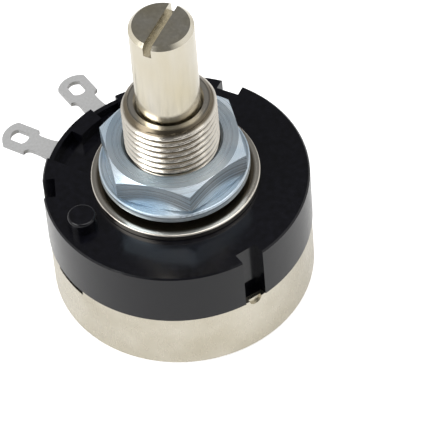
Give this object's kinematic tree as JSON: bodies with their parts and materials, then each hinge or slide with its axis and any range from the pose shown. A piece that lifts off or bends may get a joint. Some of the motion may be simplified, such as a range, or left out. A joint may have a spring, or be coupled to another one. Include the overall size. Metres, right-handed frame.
{
  "type": "rotary potentiometer",
  "caption": "Panel rotary potentiometer: round housing on a drawn metal rear cover, threaded bushing with nut and washer, slotted round shaft and radial solder lugs.",
  "frame": {"origin": "centre of the rear cover's back face, on the shaft axis", "axes": "+Z along the shaft axis, out of the shaft's end; the middle solder lug points 120 degrees counter-clockwise from +X"},
  "size_m": [0.0286, 0.0314, 0.0335],
  "materials": {
    "cover_steel": "satin nickel plate on drawn steel",
    "phenolic": "glossy black moulded phenolic",
    "nickel_brass": "bright nickel plate on turned brass",
    "shaft_metal": "fine turned nickel plate",
    "spring_steel": "oiled spring steel",
    "zinc_steel": "blue-bright zinc plate",
    "lug_tin": "matt tin plate on brass",
    "rotor_resin": "matt natural resin",
    "spring_bronze": "bright phosphor bronze",
    "laminate": "matt phenolic paper laminate",
    "carbon_ink": "burnished carbon ink",
    "silver_ink": "matt silver ink",
    "rivet_brass": "bright brass"
  },
  "bodies": {
    "case": {"rear_cover": "cover_steel", "housing": "phenolic", "bushing": "nickel_brass", "thrust_washer": "spring_steel", "element_wafer": "laminate", "carbon_track": "carbon_ink", "silver_pads": "silver_ink", "collector_ring": "spring_bronze", "terminal_left": "lug_tin", "terminal_middle": "lug_tin", "terminal_right": "lug_tin", "rivet_left": "rivet_brass", "rivet_middle": "rivet_brass", "rivet_right": "rivet_brass"},
    "rotor_assembly": {"shaft": "shaft_metal", "retaining_ring": "spring_steel", "rotor": "rotor_resin", "wiper_spring": "spring_bronze"},
    "loose_washer": {"flat_washer": "zinc_steel"},
    "screwed_nut": {"hex_nut": "zinc_steel"}
  },
  "joints": [
    {"name": "shaft_turn", "type": "hinge", "parent": "case", "child": "rotor_assembly", "pos_m": [0, 0, 0.02], "axis": [0, 0, 1], "range_deg": [-90, 210]},
    {"name": "nut_turn", "type": "hinge", "parent": "case", "child": "loose_washer", "pos_m": [0, 0, 0.0147], "axis": [0, 0, 1], "range_deg": [0, 2400]},
    {"name": "nut_rise", "type": "slide", "parent": "loose_washer", "child": "screwed_nut", "axis": [0, 0, 1], "range_m": [0, 0.005]}
  ],
  "couplings": [
    {"joint": "nut_rise", "follows": "nut_turn", "m_per_rad": 0.00011937}
  ]
}
